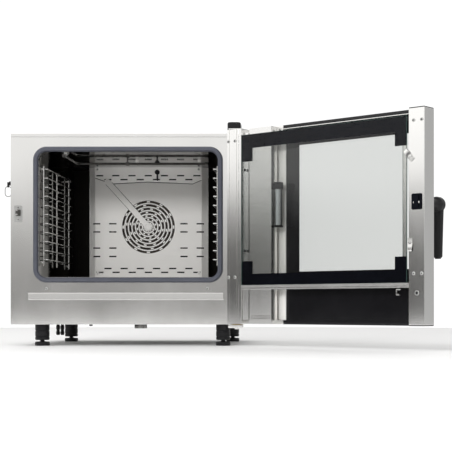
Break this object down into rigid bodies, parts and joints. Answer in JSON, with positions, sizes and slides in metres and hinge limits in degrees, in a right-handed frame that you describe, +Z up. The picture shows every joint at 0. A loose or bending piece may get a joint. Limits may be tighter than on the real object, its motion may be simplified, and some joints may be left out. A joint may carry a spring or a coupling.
{
  "type": "combi steamer oven",
  "caption": "Table-top combi steamer oven with wire tray racks, fan chamber and a full-width glazed door that carries the controls, standing open.",
  "frame": {"origin": "on the floor, in the middle of the four feet", "axes": "+Z up, the door front faces -Y, +X to the right seen from the front"},
  "size_m": [1.5968, 1.3867, 0.847],
  "materials": {
    "casing_steel": "fine brushed stainless",
    "chamber_steel": "bright rolled stainless",
    "baffle_steel": "matt stainless",
    "wire_steel": "drawn stainless rod",
    "zinc": "zinc-plated",
    "gasket_rubber": "matt silicone",
    "black_plastic": "moulded, satin",
    "black_glass": "black printed enamel on glass",
    "clear_glass": "clear float glass",
    "lamp_glass": "frosted tube",
    "brass": "turned",
    "wool": "mineral wool board",
    "heater_sheath": "heat-dulled sheath",
    "motor_black": "baked enamel"
  },
  "bodies": {
    "casing": {"front_frame": "casing_steel", "left_side_panel": "casing_steel", "right_side_panel": "casing_steel", "top_cover": "casing_steel", "rear_panel": "casing_steel", "base_pan": "zinc", "chamber_liner": "chamber_steel", "insulation": "wool", "door_gasket": "gasket_rubber", "air_baffle": "baffle_steel", "baffle_standoffs": "baffle_steel", "steam_channel": "baffle_steel", "rack_left": "wire_steel", "rack_right": "wire_steel", "chamber_hooks": "baffle_steel", "wash_pipe": "wire_steel", "chamber_sensor": "black_plastic", "ring_heater": "heater_sheath", "fan_motor": "motor_black", "drain": "chamber_steel", "water_inlets": "brass", "vent_stack": "casing_steel", "under_glands": "black_plastic", "strike": "zinc", "drip_trough": "casing_steel", "front_screws": "zinc", "hinge_bracket_upper": "casing_steel", "hinge_cap": "black_plastic", "hinge_bracket_lower": "zinc", "side_plug": "black_plastic", "foot_housings": "black_plastic"},
    "door": {"stile_handle": "casing_steel", "stile_hinge": "casing_steel", "hinge_bushings": "brass", "door_rails": "casing_steel", "outer_glass": "clear_glass", "outer_mask": "black_glass", "control_fascia": "casing_steel", "display": "black_glass", "electronics_box": "casing_steel", "lamp_tube": "lamp_glass", "lamp_caps": "black_plastic", "latch_housing": "black_plastic", "glass_rail": "wire_steel", "door_screws": "zinc"},
    "door_handle": {"handle": "black_plastic", "handle_spindle": "wire_steel"},
    "clip_top_body": {"clip_top": "wire_steel"},
    "clip_bottom_body": {"clip_bottom": "wire_steel"},
    "inner_pane": {"inner_glass": "clear_glass", "glass_bands": "black_glass", "glass_pins": "wire_steel"},
    "fan": {"fan_wheel": "baffle_steel"},
    "pad_fl": {"foot_pad_fl": "black_plastic"},
    "pad_fr": {"foot_pad_fr": "black_plastic"},
    "pad_rl": {"foot_pad_rl": "black_plastic"},
    "pad_rr": {"foot_pad_rr": "black_plastic"},
    "dial_body": {"dial": "black_plastic"},
    "button_body": {"power_button": "wire_steel"},
    "ring_body": {"pull_ring": "wire_steel"}
  },
  "joints": [
    {"name": "door_hinge", "type": "hinge", "parent": "casing", "child": "door", "pos_m": [0.3964, -0.3737, 0.437], "axis": [0, 0, 1], "range_deg": [-141.3, 38.7]},
    {"name": "handle_turn", "type": "hinge", "parent": "door", "child": "door_handle", "pos_m": [1.04695, -0.85862, 0.4825], "axis": [0.6252, 0.7804, 0], "range_deg": [0, 60]},
    {"name": "pane_hinge", "type": "hinge", "parent": "door", "child": "inner_pane", "pos_m": [0.41943, -0.42892, 0.49], "axis": [0, 0, -1], "range_deg": [0, 90]},
    {"name": "clip_top_turn", "type": "hinge", "parent": "door", "child": "clip_top_body", "pos_m": [0.99031, -0.89013, 0.631], "axis": [0.6252, 0.7804, 0], "range_deg": [-50, 40]},
    {"name": "clip_bottom_turn", "type": "hinge", "parent": "door", "child": "clip_bottom_body", "pos_m": [0.99031, -0.89013, 0.354], "axis": [0.6252, 0.7804, 0], "range_deg": [0, 90]},
    {"name": "fan_spin", "type": "hinge", "parent": "casing", "child": "fan", "pos_m": [-0.0085, 0.27, 0.477], "axis": [0, -1, 0], "continuous": true},
    {"name": "pad_fl_screw", "type": "hinge", "parent": "casing", "child": "pad_fl", "pos_m": [-0.339, -0.27, 0.01], "axis": [0, 0, -1], "continuous": true},
    {"name": "pad_fr_screw", "type": "hinge", "parent": "casing", "child": "pad_fr", "pos_m": [0.339, -0.27, 0.01], "axis": [0, 0, -1], "continuous": true},
    {"name": "pad_rl_screw", "type": "hinge", "parent": "casing", "child": "pad_rl", "pos_m": [-0.339, 0.27, 0.01], "axis": [0, 0, -1], "continuous": true},
    {"name": "pad_rr_screw", "type": "hinge", "parent": "casing", "child": "pad_rr", "pos_m": [0.339, 0.27, 0.01], "axis": [0, 0, -1], "continuous": true},
    {"name": "dial_turn", "type": "hinge", "parent": "door", "child": "dial_body", "pos_m": [0.49202, -0.41148, 0.39], "axis": [0.6252, 0.7804, 0], "continuous": true},
    {"name": "button_press", "type": "slide", "parent": "door", "child": "button_body", "axis": [-0.6252, -0.7804, 0], "range_m": [0, 0.002], "stiffness_N_per_m": 600},
    {"name": "ring_swing", "type": "hinge", "parent": "casing", "child": "ring_body", "pos_m": [-0.467, -0.27, 0.597], "axis": [1, 0, 0], "range_deg": [-60, 60]}
  ]
}
